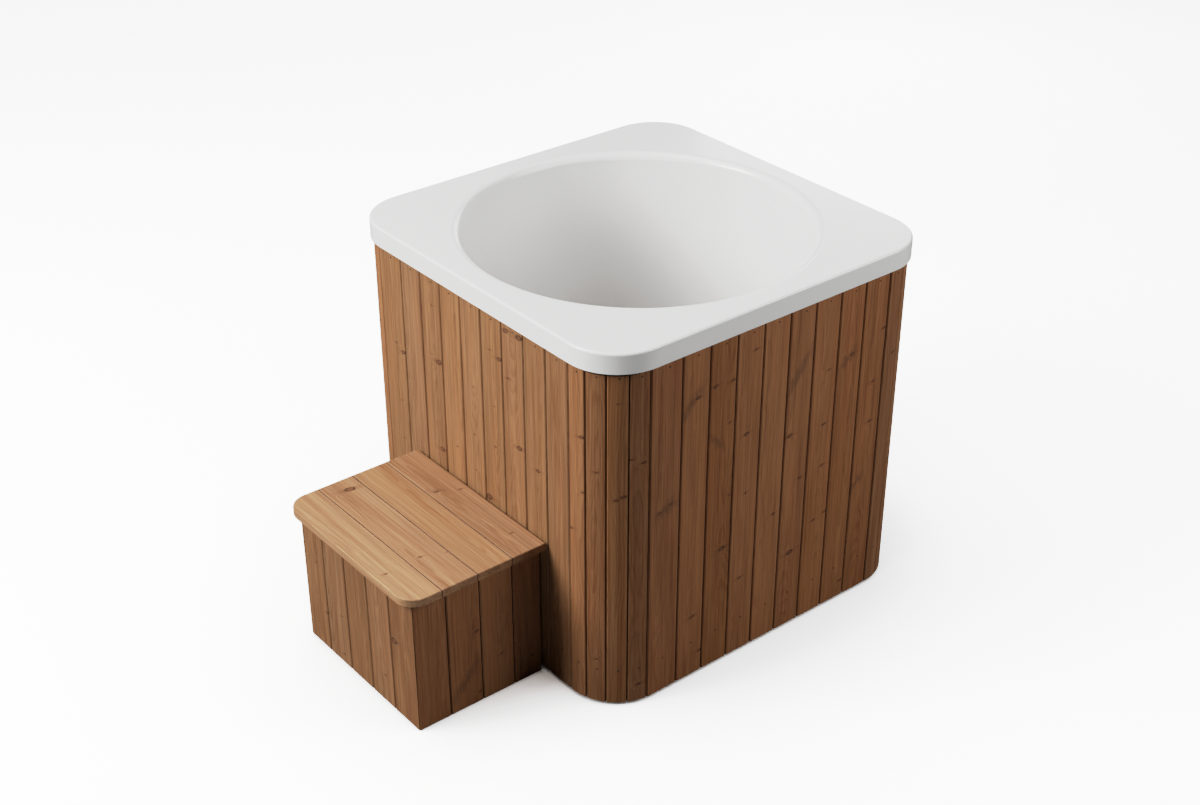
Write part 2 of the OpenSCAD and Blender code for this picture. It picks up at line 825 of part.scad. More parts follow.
module step_rails(z) {
    run_x = step_in_w - 2 * step_post;
    run_y = step_d - step_board_t - 2 * step_post;
    color(frame_wood) {
        for (y = [step_front + step_board_t, step_rear - step_rail_t])
            translate([step_shift - run_x / 2, y, z]) cube([run_x, step_rail_t, step_rail_h]);
        for (x = [-step_in_w / 2, step_in_w / 2 - step_rail_t])
            translate([step_shift + x, step_front + step_board_t + step_post, z])
                cube([step_rail_t, run_y, step_rail_h]);
    }
}

module step_top_rails() { step_rails(tread_under - step_rail_h); }
module step_bottom_rails() { step_rails(step_rail_z); }

// Cross pieces that hold the tread boards together from below
module step_battens() {
    front = step_front + step_board_t + step_rail_t;
    color(frame_wood) for (x = [-batten_x, batten_x])
        translate([step_shift + x - step_rail_h / 2, front, tread_under - step_rail_t])
            cube([step_rail_h, step_rear - step_rail_t - front, step_rail_t]);
}

module step_glides() {
    x_out = step_in_w / 2 - step_post / 2;
    ys = [step_front + step_board_t + step_post / 2, step_rear - step_post / 2];
    color(rubber_black) for (x = [-x_out, x_out], y = ys)
        translate([step_shift + x, y, 0]) cylinder(h = glide_t, r = glide_r);
}

basin_shell();
foam_jacket();
floor_panel();
front_bearer();
middle_bearer();
rear_bearer();
rubber_feet();
bottom_rails();
bottom_formers();
studs();
top_rails();
top_formers();
front_boards();
right_boards();
back_boards();
left_boards();
front_right_staves();
back_right_staves();
back_left_staves();
front_left_staves();
drain_flange();
drain_strainer();
drain_gaskets();
drain_locknut();
drain_elbow();
drain_pipe();
pipe_collar();
valve_body();
valve_tailpiece();
valve_seats();
valve_ball();
valve_stem();
valve_lever();
lever_nut();
lever_grip();
step_tread();
step_front_boards();
step_left_boards();
step_right_boards();
step_posts();
step_top_rails();
step_bottom_rails();
step_battens();
step_glides();
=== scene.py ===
import bmesh
import bpy
from math import cos, pi, radians, sin
from mathutils import Matrix, Vector


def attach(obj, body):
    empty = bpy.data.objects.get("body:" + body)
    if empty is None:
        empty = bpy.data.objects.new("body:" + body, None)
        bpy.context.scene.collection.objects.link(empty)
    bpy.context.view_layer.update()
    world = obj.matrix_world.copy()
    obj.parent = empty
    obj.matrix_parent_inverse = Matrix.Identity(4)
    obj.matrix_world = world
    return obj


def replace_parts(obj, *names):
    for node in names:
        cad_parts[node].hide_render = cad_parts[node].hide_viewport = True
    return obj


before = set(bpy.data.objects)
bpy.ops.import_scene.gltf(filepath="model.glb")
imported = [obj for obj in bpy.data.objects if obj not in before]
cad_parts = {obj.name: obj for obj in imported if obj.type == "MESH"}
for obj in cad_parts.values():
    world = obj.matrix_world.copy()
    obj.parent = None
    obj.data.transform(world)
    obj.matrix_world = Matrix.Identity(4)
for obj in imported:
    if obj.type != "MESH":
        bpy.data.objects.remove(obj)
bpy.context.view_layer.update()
scene = bpy.context.scene


# Camera
# The photograph was taken from the right front corner, above the deck, with a short tele
# lens. Its place and angle come from the deck's and the step's known corners.
camera_place = (3.0049, -2.5458, 2.7735)
camera_azimuth = radians(51.06)
camera_elevation = radians(30.55)
camera_roll = radians(-0.05)
camera_lens = 54.06

away = Vector((sin(camera_azimuth) * cos(camera_elevation),
               -cos(camera_azimuth) * cos(camera_elevation),
               sin(camera_elevation)))
level = Vector((cos(camera_azimuth), sin(camera_azimuth), 0))
camera_turn = Matrix((level, away.cross(level), away)).transposed()
camera_turn = camera_turn @ Matrix.Rotation(camera_roll, 3, "Z")
camera = bpy.data.objects.new("camera", bpy.data.cameras.new("camera"))
camera.data.lens = camera_lens
camera.data.sensor_width = 36
camera.matrix_world = Matrix.Translation(camera_place) @ camera_turn.to_4x4()
scene.collection.objects.link(camera)
scene.camera = camera


# Studio lights
# A soft key stands at the left front, one box hangs over the deck, and wide panels fill from
# behind the right side and behind the left. A faint dome lifts what they don't reach.
key_travel = Vector((0.301, 0.793, -0.530))
key_aim = Vector((0, 0, 0.8))
key_distance = 6.5
top_place = Vector((-0.9, -1.1, 4.2))
fill_place = Vector((2.9, 1.9, 2.3))
fill_target = Vector((0, 0, 0.5))
rear_place = Vector((-2.7, 3.9, 2.0))
rear_target = Vector((0, 0.1, 0.5))
dome_color = (0.98, 0.99, 1.0, 1)
dome_strength = 0.022
backdrop_strength = 4.0

# The tone follows a film curve: each pair is a brightness in the scene and how light it shows.
film_white = 4.0
film_points = ((0, 0), (0.25, 0.25), (0.45, 0.445), (0.70, 0.59), (1.00, 0.695), (1.40, 0.755),
               (1.90, 0.80), (2.60, 0.87), (4.00, 0.955))
scene.view_settings.view_transform = "Standard"
scene.view_settings.look = "None"
scene.view_settings.use_curve_mapping = True
film = scene.view_settings.curve_mapping
film.white_level = (film_white, film_white, film_white)
film_curve = film.curves[3]
while len(film_curve.points) < len(film_points):
    film_curve.points.new(0.5, 0.5)
for point, (light, shown) in zip(film_curve.points, film_points):
    point.location = (light / film_white, shown)
    point.handle_type = "VECTOR"
film.update()


def add_panel(name, place, travel, power, size, color=(1, 1, 1)):
    """A square panel of light at a place, shining along a direction and hidden from the camera."""
    lamp = bpy.data.objects.new(name, bpy.data.lights.new(name, "AREA"))
    lamp.matrix_world = Matrix.Translation(place) @ travel.to_track_quat("-Z", "Y").to_matrix().to_4x4()
    lamp.visible_camera = False
    lamp.data.energy = power
    lamp.data.size = size
    lamp.data.color = color
    scene.collection.objects.link(lamp)


add_panel("key_light", key_aim - key_distance * key_travel, key_travel, power=770, size=3.1,
          color=(1.0, 0.995, 0.985))
add_panel("top_light", top_place, Vector((0, 0, -1)), power=86, size=2.0)
add_panel("fill_light", fill_place, fill_target - fill_place, power=91, size=2.2, color=(1.0, 0.992, 0.98))
add_panel("rear_light", rear_place, rear_target - rear_place, power=55, size=1.8)


class Value:
    """What a node gives. Plain + - * / on it add math nodes to the same tree."""

    def __init__(self, socket):
        self.socket = socket
        self.tree = socket.id_data

    def __add__(self, other):
        return maths("ADD", self, other)

    def __radd__(self, other):
        return maths("ADD", other, self)

    def __sub__(self, other):
        return maths("SUBTRACT", self, other)

    def __rsub__(self, other):
        return maths("SUBTRACT", other, self)

    def __mul__(self, other):
        return maths("MULTIPLY", self, other)

    def __truediv__(self, other):
        return maths("DIVIDE", self, other)

    def __abs__(self):
        return maths("ABSOLUTE", self)


def feed(socket, value):
    """Links a value to a socket, or sets the socket's own number, colour or vector."""
    if isinstance(value, Value):
        socket.id_data.links.new(value.socket, socket)
    else:
        socket.default_value = value


def add(tree, kind, inputs=(), **settings):
    """A new node of one kind, with its settings, and with its inputs by name or by number."""
    node = tree.nodes.new(kind)
    for name, setting in settings.items():
        setattr(node, name, setting)
    for key, value in dict(inputs).items():
        feed(node.inputs[key], value)
    return node


def value_of(tree, kind, inputs=(), output=0, **settings):
    """What a new node gives at one of its outputs."""
    return Value(add(tree, kind, inputs, **settings).outputs[output])


def tree_of(*values):
    """The tree of the first of the values that isn't a plain number or colour."""
    return next(value.tree for value in values if isinstance(value, Value))


def maths(operation, *values, clamp=False):
    """One sum on values and numbers."""
    return value_of(tree_of(*values), "ShaderNodeMath", enumerate(values), operation=operation,
                    use_clamp=clamp)


def seen_or(tree, seen, unseen, output):
    """Ends a tree in one shader for what the camera sees and in another for all other rays."""
    camera_ray = value_of(tree, "ShaderNodeLightPath", output="Is Camera Ray")
    add(tree, output, {0: value_of(tree, "ShaderNodeMixShader", {0: camera_ray, 1: unseen, 2: seen})})


world = bpy.data.worlds.new("studio")
world.use_nodes = True
scene.world = world
dome = world.node_tree
dome.nodes.clear()
backdrop = value_of(dome, "ShaderNodeBackground", {"Strength": backdrop_strength})
lighting = value_of(dome, "ShaderNodeBackground", {"Color": dome_color, "Strength": dome_strength})
seen_or(dome, backdrop, lighting, "ShaderNodeOutputWorld")


# Studio floor
# A white seamless floor that runs out of sight. The camera sees it glowing nearly white, with faint
# painted shadows where nearby cover dims the glow, and the object gets its plain white bounce.
floor_reach = 40
floor_z = -0.0004
floor_glow = 2.9
floor_warm = (0.80, 0.66, 0.58, 1)
floor_seen = (0.80, 0.80, 0.80, 1)
floor_bounce = (0.16, 0.16, 0.16, 1)
# Each shadow: how far it looks for cover in metres, the openness at which it is deepest and at
# which it ends, the glow that it leaves, and whether it looks upwards or towards the key light.
floor_shadows = ((0.03, 0.28, 0.68, 0.02, "up"), (0.15, 0.02, 0.18, 0.03, "up"),
                 (0.70, 0.50, 0.97, 0.77, "up"), (0.35, 0.38, 0.86, 0.50, "key"),
                 (0.45, 0.26, 0.54, 0.14, "up"))

floor_mesh = bpy.data.meshes.new("studio_floor")
floor_mesh.from_pydata([(x * floor_reach, y * floor_reach, floor_z) for x, y in
                        ((-1, -1), (1, -1), (1, 1), (-1, 1))], [], [(0, 1, 2, 3)])
studio_floor = bpy.data.objects.new("studio_floor", floor_mesh)
scene.collection.objects.link(studio_floor)
paper = bpy.data.materials.new("studio_paper")
paper.use_nodes = True
sheet = paper.node_tree
sheet.nodes.clear()


def spread(value, low, high, to_low=0.0, to_high=1.0, kind="SMOOTHSTEP"):
    """Maps low..high to another range, eased and held at both ends."""
    inputs = zip(("Value", "From Min", "From Max", "To Min", "To Max"), (value, low, high, to_low, to_high))
    return value_of(value.tree, "ShaderNodeMapRange", inputs, "Result", interpolation_type=kind)


def blend(amount, first, second, mode="MIX"):
    """Mixes two colours."""
    return value_of(tree_of(amount, first, second), "ShaderNodeMix", {0: amount, 6: first, 7: second}, 2,
                    data_type="RGBA", blend_type=mode)


to_key = value_of(sheet, "ShaderNodeVectorMath", {0: tuple(-key_travel)}, operation="NORMALIZE")
glow = floor_glow
for reach, low, high, least, way in floor_shadows:
    inputs = {"Distance": reach} if way == "up" else {"Distance": reach, "Normal": to_key}
    cover = value_of(sheet, "ShaderNodeAmbientOcclusion", inputs, "AO", samples=8)
    shade = spread(cover, low, high, least, 1.0)
    glow = shade * glow
# The last painted shadow, in the nook between the step and the tub, takes a warm tint: painted bounce from
# the boards.
shine = value_of(sheet, "ShaderNodeEmission",
                 {"Strength": glow, "Color": blend(shade, floor_warm, (1, 1, 1, 1))})
matt = value_of(sheet, "ShaderNodeBsdfDiffuse", {"Color": floor_seen})
bounce = value_of(sheet, "ShaderNodeBsdfDiffuse", {"Color": floor_bounce})
glowing = value_of(sheet, "ShaderNodeAddShader", {0: matt, 1: shine})
seen_or(sheet, glowing, bounce, "ShaderNodeOutputMaterial")
floor_mesh.materials.append(paper)


# Basin
# The deck and the round bowl are one moulding of white gel-coated plastic. The turned-down
# edge is part of it, and the coat has a faint ripple from the mould.
shell_white = (0.825, 0.825, 0.82, 1)
shell_shade = (0.795, 0.795, 0.79, 1)
# The bowl's painted shade: its colour, and the heights between which it fades out.
painted_bowl_shade_color = (0.68, 0.665, 0.65, 1)
bowl_shade_low = 0.38
bowl_shade_high = 0.90
ripple_scale = 55.0


def new_material(name, **plain):
    """A material with a Principled shader whose plain sockets are set by name."""
    material = bpy.data.materials.new(name)
    material.use_nodes = True
    shader = material.node_tree.nodes["Principled BSDF"]
    for label, value in plain.items():
        shader.inputs[label.replace("_", " ")].default_value = value
    return material, material.node_tree, shader


def values_by_name(node):
    """All that a node gives, by the names of its outputs."""
    return {socket.name: Value(socket) for socket in node.outputs}


def new_group(name, inputs, outputs):
    """A shader node group with named sockets. Gives its tree, what goes in and what comes out."""
    tree = bpy.data.node_groups.new(name, "ShaderNodeTree")
    for way, sockets in (("INPUT", inputs), ("OUTPUT", outputs)):
        for label, kind in sockets.items():
            tree.interface.new_socket(label, in_out=way, socket_type="NodeSocket" + kind)
    return tree, values_by_name(add(tree, "NodeGroupInput")), add(tree, "NodeGroupOutput").inputs


def use_group(group, **values):
    """Places a group in the tree of its values and feeds its inputs by name."""
    inputs = {label.replace("_", " "): value for label, value in values.items()}
    return values_by_name(add(tree_of(*values.values()), "ShaderNodeGroup", inputs, node_tree=group))


def noise(place, scale=1.0, detail=2.0, roughness=0.5):
    """Even noise from 0 to 1 over a place."""
    inputs = {"Vector": place, "Scale": scale, "Detail": detail, "Roughness": roughness}
    return value_of(place.tree, "ShaderNodeTexNoise", inputs, "Fac")


def bump(shader, height, strength, distance):
    """Feeds a height in the shader's normal, with the real depth in metres."""
    inputs = {"Strength": strength, "Distance": distance, "Height": height}
    feed(shader.inputs["Normal"], value_of(height.tree, "ShaderNodeBump", inputs))


def paint(shader, look, strength, distance):
    """Feeds a look's colour, roughness and height in a shader."""
    feed(shader.inputs["Base Color"], look["Color"])
    feed(shader.inputs["Roughness"], look["Roughness"])
    bump(shader, look["Height"], strength, distance)


def place_of(tree):
    """The place on the object, in metres from the tub's middle on the floor."""
    return value_of(tree, "ShaderNodeTexCoord", output="Object")


def split(value, kind="XYZ"):
    """The three numbers of a vector or a colour."""
    return [Value(socket) for socket in add(value.tree, "ShaderNodeSeparate" + kind, {0: value}).outputs]


def dress(material, *nodes):
    """Gives CAD nodes a material."""
    for name in nodes:
        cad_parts[name].material_slots[0].material = material


# Cast, moulded and rolled surfaces share this: slow clouds of tone, fine specks, and a
# roughness that follows both.
surface = {"Color": "Color", "Roughness": "Float", "Height": "Float"}
cloudy, given, made = new_group(
    "cloudy_surface",
    {"Place": "Vector", "Clouds": "Float", "Specks": "Float", "Color": "Color", "Shade": "Color",
     "Low Roughness": "Float", "High Roughness": "Float"}, surface)
slow = noise(given["Place"], given["Clouds"], detail=3)
fine = noise(given["Place"], given["Specks"], detail=4, roughness=0.6)
both = slow * 0.65 + fine * 0.35
feed(made["Color"], blend(spread(both, 0.35, 0.65), given["Color"], given["Shade"]))
feed(made["Roughness"], spread(both, 0.3, 0.7, given["Low Roughness"], given["High Roughness"]))
feed(made["Height"], both)

gelcoat, tree, shader = new_material("white_gelcoat", Coat_Weight=0.5, Coat_Roughness=0.12, Coat_IOR=1.5,
                                     IOR=1.5)
look = use_group(cloudy, Place=place_of(tree), Clouds=3.0, Specks=160.0, Color=shell_white,
                 Shade=shell_shade, Low_Roughness=0.30, High_Roughness=0.40)
x, y, z = split(place_of(tree))
# Down in the bowl the white is darkened and warmed a little by height: painted shade for the bowl's depth.
painted_bowl_shade = spread(z, bowl_shade_low, bowl_shade_high, 1.0, 0.0)
look["Color"] = blend(painted_bowl_shade, look["Color"], painted_bowl_shade_color)
look["Height"] = noise(place_of(tree), ripple_scale, detail=1)
paint(shader, look, 0.10, 0.001)
dress(gelcoat, "basin_shell")


# Wall boards
# Heat-treated pine, nine tongued and grooved boards on each side, nailed upright to the rails.
# Every board was sawn from another log, so each has its own tone, rings and knots. Knots are
# told board by board as (height, place across, half width) in millimetres.
MM = 1000.0
clad_face = 495.5
clad_corner_r = 134.0
corner_c = clad_face - clad_corner_r
first_joint = -286.94
board_pitch = 80.5
corner_staves = 4
stave_angle = 21.25
lead_angle = 1.9
degrees = 180 / pi
wood_light = (0.289, 0.152, 0.071, 1)
wood_dark = (0.148, 0.065, 0.026, 1)
# The right and back walls stand in the shade and take a redder copy of the pine: painted shade colour.
shade_side_red_light = (0.334, 0.145, 0.0585, 1)
shade_side_red_dark = (0.170, 0.062, 0.0217, 1)

# Finds the board that a place is on: its number in the row, how far across it the place is
# from its middle, and how far it is from the nearest joint, all in millimetres. The outer
# edges of the first and the last board aren't joints, so they are put out of reach.
board_row, given, made = new_group(
    "board_row", {"Run": "Float", "First Joint": "Float", "Pitch": "Float", "Boards": "Float"},
    {"Board": "Float", "Across": "Float", "Edge": "Float"})
beyond = given["Run"] - given["First Joint"]
last = given["Boards"] - 1.0
number = maths("MAXIMUM", maths("FLOOR", beyond / given["Pitch"]) + 1.0, 0.0)
number = maths("MINIMUM", number, last)
across = beyond - (number - 0.5) * given["Pitch"]
half = given["Pitch"] * 0.5
to_first = half + across + maths("LESS_THAN", number, 0.5) * MM
to_last = half - across + maths("GREATER_THAN", number, last - 0.5) * MM
feed(made["Board"], number)
feed(made["Across"], across)
feed(made["Edge"], maths("MINIMUM", to_first, to_last))


def length(x, y):
    """The length of a line that runs x one way and y the other."""
    return maths("SQRT", x * x + y * y)


# Finds the stave of a round corner in the same way, along the bend.
stave_row, given, made = new_group(
    "stave_row", {"Place": "Vector"},
    {"Board": "Float", "Across": "Float", "Edge": "Float", "Depth": "Float", "Height": "Float"})
x, y, z = split(given["Place"])
out_x = x - corner_c
out_y = y * -1.0 - corner_c
turned = maths("ARCTAN2", out_x, out_y) * degrees + lead_angle
number = maths("MINIMUM", maths("FLOOR", turned / stave_angle), corner_staves - 1.0)
number = maths("MAXIMUM", number, 0.0)
arc = (turned - (number + 0.5) * stave_angle) * (clad_corner_r / degrees)
feed(made["Board"], number)
feed(made["Across"], arc)
feed(made["Edge"], stave_angle / 2 * clad_corner_r / degrees - abs(arc))
feed(made["Depth"], clad_corner_r - length(out_x, out_y))
feed(made["Height"], z)

# One knot: a branch cut at a slant, lens-shaped, with the grain darkened beside it. Spot holds
# its place along and across the board and its half width. A width of nought makes no knot. It
# gives the distance in half widths, the same for the fan that reaches far across the board,
# and how far the knot pushes the rings aside. The names in capitals are what the numbers of a
# knot or a smudge are divided by, since a lookup by board holds them as a colour from 0 to 1.
SPOT_ALONG = 1000.0
SPOT_ACROSS = 100.0
SPOT_RADIUS = 20.0
SMUDGE_REACH = 100.0
SMUDGE_SLANT = 4.0
knot_stretch = 0.6
knot_slant = 0.15
knot_growth = 1.25
knot_fan = 0.12
push_fade = -0.16
push_share = 1.6
no_knot = 9.0
no_spot = (0, -SPOT_ACROSS / 2, 0)
knot, given, made = new_group(
    "knot", {"Across": "Float", "Along": "Float", "Spot": "Color", "Stretch": "Float"},
    {"Distance": "Float", "Fan": "Float", "Push": "Float"})
spot_z, spot_x, spot_width = split(given["Spot"], "Color")
radius = spot_width * (SPOT_RADIUS * knot_growth)
least_radius = maths("MAXIMUM", radius, 0.05)
off_x = given["Across"] - (spot_x - 0.5) * SPOT_ACROSS
off_z = (given["Along"] - spot_z * SPOT_ALONG - off_x * knot_slant) / given["Stretch"]
square_x = off_x * off_x
square_z = off_z * off_z
far = maths("SQRT", square_x + square_z) / least_radius
feed(made["Distance"], far)
feed(made["Fan"], maths("SQRT", square_x * knot_fan + square_z) / least_radius)
feed(made["Push"], maths("EXPONENT", far * far * push_fade) * (radius * push_share))

# Sawn pine in the round: rings about a pith that lies behind the face and wanders along the
# board, fibre streaks, broad bands of colour, and the knots. Lengths are in millimetres. Each
# board draws its own pith, and its own place in the noise, up to the log gap away. A number
# added to the place gives a layer another part of the noise.
ring_width = 3.4
ring_sway = 9.0
pith_least_depth = 14.0
pith_depth_range = 35.0
pith_side_range = 70.0
pith_side_wander = 60.0
pith_depth_wander = 55.0
log_gap = 4000.0
pore_color = (0.10, 0.042, 0.018, 1)
ruddy_color = (1.02, 0.90, 0.82, 1)
halo_color = (0.130, 0.050, 0.022, 1)
heart_color = (0.120, 0.042, 0.018, 1)
bark_color = (0.040, 0.018, 0.010, 1)
smudge_color = (0.075, 0.038, 0.022, 1)
# The last colour darkens the joints, and on the staves it also paints the shade under the rim.
joint_and_rim_shade_color = (0.034, 0.016, 0.009, 1)
pine, given, made = new_group(
    "sawn_pine",
    {"Across": "Float", "Depth": "Float", "Along": "Float", "Board": "Float", "Tone": "Float",
     "Edge": "Float", "Joint": "Float", "Knot Distance": "Float", "Knot Fan": "Float",
     "Knot Push": "Float", "Smudge": "Float", "Figure": "Float", "Fibres": "Float",
     "Streaks": "Float", "Light": "Color", "Dark": "Color"}, surface)
draw = values_by_name(add(pine, "ShaderNodeTexWhiteNoise", {"W": given["Board"]}, noise_dimensions="1D"))
draw_1, draw_2, draw_3 = split(draw["Color"], "Color")
shift = draw["Value"] * log_gap
side = given["Across"] + shift
depth = given["Depth"]
along = given["Along"] + shift


def combine(x, y, z):
    """A vector of three values or numbers."""
    return value_of(tree_of(x, y, z), "ShaderNodeCombineXYZ", enumerate((x, y, z)))


def stretched(across, depth, along, wide, long):
    """Noise drawn out along the grain: wide and long are the streaks' sizes."""
    return noise(combine(across / wide, depth / wide, along / long), detail=3, roughness=0.55)


wander = noise(combine(shift, 0.0, along * 0.0022), detail=1) - 0.5
rise = noise(combine(7.0, shift, along * 0.0016), detail=1) - 0.5
pith_x = (draw_1 - 0.5) * pith_side_range + wander * pith_side_wander
pith_y = draw_2 * pith_depth_range + pith_least_depth + rise * pith_depth_wander
sway = stretched(side, depth, along, wide=22.0, long=150.0) - 0.5
ring = length(given["Across"] - pith_x, pith_y - depth) + sway * ring_sway + given["Knot Push"]
slow = noise(combine(ring * 0.05, shift, 0.0)) * 3.0
year = maths("FRACT", ring / ring_width + slow)
late = spread(year, 0.25, 0.86) * spread(year, 0.88, 0.99, 1.0, 0.0)
fibre = stretched(side, depth, along, wide=2.1, long=110.0)
streak = stretched(side + 1700.0, depth, along, wide=5.0, long=260.0)
broad = stretched(side, depth, along, wide=16.0, long=480.0)
pores = spread(stretched(side + 900.0, depth, along, wide=0.9, long=22.0), 0.66, 0.76)
ruddy = spread(stretched(side + 2900.0, depth, along, wide=30.0, long=600.0), 0.40, 0.64)

tone = given["Tone"] + (late - 0.3) * given["Figure"]
for layer, share, amount in ((fibre, "Fibres", 0.95), (streak, "Streaks", 1.40), (broad, "Streaks", 1.50)):
    tone = tone + (layer - 0.5) * (given[share] * amount)
tone = maths("MAXIMUM", maths("MINIMUM", tone, 1.0), 0.0)
wood = blend(tone, given["Light"], given["Dark"])
wood = blend(ruddy * (given["Streaks"] * 0.5), wood, ruddy_color, "MULTIPLY")
wood = blend(pores * 0.30, wood, pore_color)
wood = value_of(pine, "ShaderNodeHueSaturation",
                {"Color": wood, "Hue": spread(draw_3, 0.0, 1.0, 0.4990, 0.5010, "LINEAR"),
                 "Saturation": spread(draw_1, 0.0, 1.0, 0.98, 1.02, "LINEAR")})

# The knots: shaded grain beside them, the cut branch itself, and broken bark round it, all by
# the distance in the knot's half widths.
crumble = (noise(combine(side * 0.3, depth, along * 0.3)) - 0.5) * 0.7
ragged = given["Knot Distance"] + crumble
halo = spread(given["Knot Fan"] + crumble, 0.5, 1.7, 0.34, 0.0)
heart = spread(ragged, 0.75, 1.05, 0.60, 0.0)
bark = spread(ragged, 0.55, 0.85) * spread(ragged, 1.00, 1.30, 1.0, 0.0)
bark = bark * spread(noise(combine(side * 0.16, shift, along * 0.16)), 0.36, 0.54, 0.45, 1.0)
# Dark joints. On the staves the same line is painted shade under the rim, which comes in through the edge
# distance.
joint_or_rim_shade = spread(given["Edge"], given["Joint"] * 0.45, given["Joint"], 0.95, 0.0)
for amount, color in ((halo, halo_color), (heart, heart_color), (bark, bark_color),
                      (given["Smudge"], smudge_color), (joint_or_rim_shade, joint_and_rim_shade_color)):
    wood = blend(amount, wood, color)
feed(made["Color"], wood)
feed(made["Roughness"], fibre * 0.22 + 0.44)
feed(made["Height"], fibre * 0.6 - (late * -0.25 + pores * 0.7))


def by_board(board, rows):
    """Looks up the row of four numbers that a board has. Gives the first three and the fourth."""
    node = add(board.tree, "ShaderNodeValToRGB", {0: (board + 0.5) / len(rows)})
    node.color_ramp.interpolation = "CONSTANT"
    stops = node.color_ramp.elements
    for i, row in enumerate(rows):
        stop = stops[i] if i < 2 else stops.new(1.0)
        stop.position = i / len(rows)
        stop.color = row
    return Value(node.outputs[0]), Value(node.outputs[1])


def knots_of(board, across, along, boards):
    """The nearest knot, its shade and the push on the rings, by each board's own list of knots."""
    nearest, shade, push = no_knot, no_knot, 0.0
    for layer in range(max(len(knots) for knots in boards)):
        spots = [knots[layer] if layer < len(knots) else no_spot for knots in boards]
        rows = [(z / SPOT_ALONG, x / SPOT_ACROSS + 0.5, half_width / SPOT_RADIUS, 1)
                for z, x, half_width in spots]
        found = use_group(knot, Across=across, Along=along, Spot=by_board(board, rows)[0],
                          Stretch=knot_stretch)
        nearest = maths("MINIMUM", nearest, found["Distance"])
        shade = maths("MINIMUM", shade, found["Fan"])
        push = push + found["Push"]
    return nearest, shade, push


# A smudge is about twice as wide as it is tall along its slant, and its edge is ragged.
smudge_width = 1.2
smudge_height = 0.55
smudge_raggedness = 60.0
smudge_darkness = 0.50


def smudge_of(board, across, along, smudges, count):
    """Dark slanted clouds beside a branch: (height, place across, reach, slant) by board."""
    rows = [(z / SPOT_ALONG, x / SPOT_ACROSS + 0.5, reach / SMUDGE_REACH, slant / SMUDGE_SLANT + 0.5)
            for z, x, reach, slant in (smudges.get(i, (0, 0, 0, 0)) for i in range(count))]
    spot, slant = by_board(board, rows)
    spot_z, spot_x, reach = split(spot, "Color")
    slant = (slant - 0.5) * SMUDGE_SLANT
    off_x = across - (spot_x - 0.5) * SPOT_ACROSS
    off_z = along - spot_z * SPOT_ALONG - off_x * slant
    cloud = noise(combine(across * 0.08, board, along * 0.04)) - 0.5
    reach = maths("MAXIMUM", reach * SMUDGE_REACH, 0.01)
    far = length(off_x / (reach * smudge_width),
                 (off_z + cloud * smudge_raggedness) / (reach * smudge_height))
    return spread(far, 0.0, 1.5, smudge_darkness, 0.0)


def paint_pine(shader, row, depth, along, tones, knots, smudges=None, seed=0.0, light=wood_light,
               dark=wood_dark, joint_or_rim_shade=1.8, figure=0.26, fibres=1.0, streaks=1.0):
    """Paints a row of pine boards, each with its own tone, knots and smudge."""
    nearest, shade, push = knots_of(row["Board"], row["Across"], along, knots)
    tone = by_board(row["Board"], [(tone, tone, tone, 1) for tone in tones])[0]
    smudge = smudge_of(row["Board"], row["Across"], along, smudges, len(tones)) if smudges else 0.0
    look = use_group(pine, Across=row["Across"], Depth=depth, Along=along, Board=row["Board"] + seed,
                     Tone=tone, Edge=row["Edge"], Joint=joint_or_rim_shade, Knot_Distance=nearest, Knot_Fan=shade,
                     Knot_Push=push, Smudge=smudge, Figure=figure, Fibres=fibres, Streaks=streaks,
                     Light=light, Dark=dark)
    paint(shader, look, 0.35, 0.0006)


def turned_place(tree, side=0):
    """The place in millimetres as it is seen from outside one of the four sides."""
    turn = value_of(tree, "ShaderNodeVectorRotate", {"Vector": place_of(tree), "Angle": -side * pi / 2},
                    rotation_type="Z_AXIS")
    return value_of(tree, "ShaderNodeVectorMath", {0: turn, "Scale": MM}, operation="SCALE")


front_tones = (0.44, 0.45, 0.47, 0.28, 0.37, 0.45, 0.39, 0.52, 0.59)
front_knots = (
    ((655, 0, 3), (640, 30, 6), (495, 9, 2), (385, 10, 2.5)),
    (),
    ((825, 8, 2.5), (680, 25, 8), (435, 22, 7)),
    ((475, 7, 2.5),),
    ((675, 3, 2), (545, 1, 2.5), (445, 2, 2)),
    ((805, -5, 2.5), (795, 30, 6), (660, 5, 2), (550, 4, 3), (395, -28, 9)),
    ((760, -17, 3.5), (880, -22, 7), (882, 27, 8), (592, 19, 7)),
    ((565, 8, 5),),
    ())
right_tones = (0.57, 0.34, 0.59, 0.35, 0.25, 0.44, 0.33, 0.46, 0.56)
right_knots = (
    ((518, -20, 4), (530, 12, 3)),
    ((778, 6, 5), (180, 6, 5), (68, 32, 4)),
    ((788, -23, 5), (786, 29, 4), (678, 24, 3), (480, 31, 3), (337, 13, 7)),
    ((840, 15, 4), (627, -4, 5), (464, 1, 3), (225, -5, 4)),
    ((365, 16, 4),),
    ((567, -24, 6), (434, 18, 4), (225, 0, 7)),
    ((557, 8, 4), (703, 14, 3), (440, 11, 4), (297, 33, 4), (287, -5, 4)),
    ((718, 9, 5), (54, 28, 4)),
    ((754, 30, 4), (616, 9, 4), (504, 8, 4)))
right_smudges = {0: (525, 5, 32, 0.35), 1: (768, -14, 34, 1.0), 2: (641, -17, 26, -0.9),
                 5: (724, -8, 40, 1.4), 7: (708, -8, 28, 0.7), 8: (338, -22, 24, 0.9)}
back_tones = (0.42, 0.36, 0.48, 0.40, 0.45, 0.35, 0.50, 0.41, 0.44)
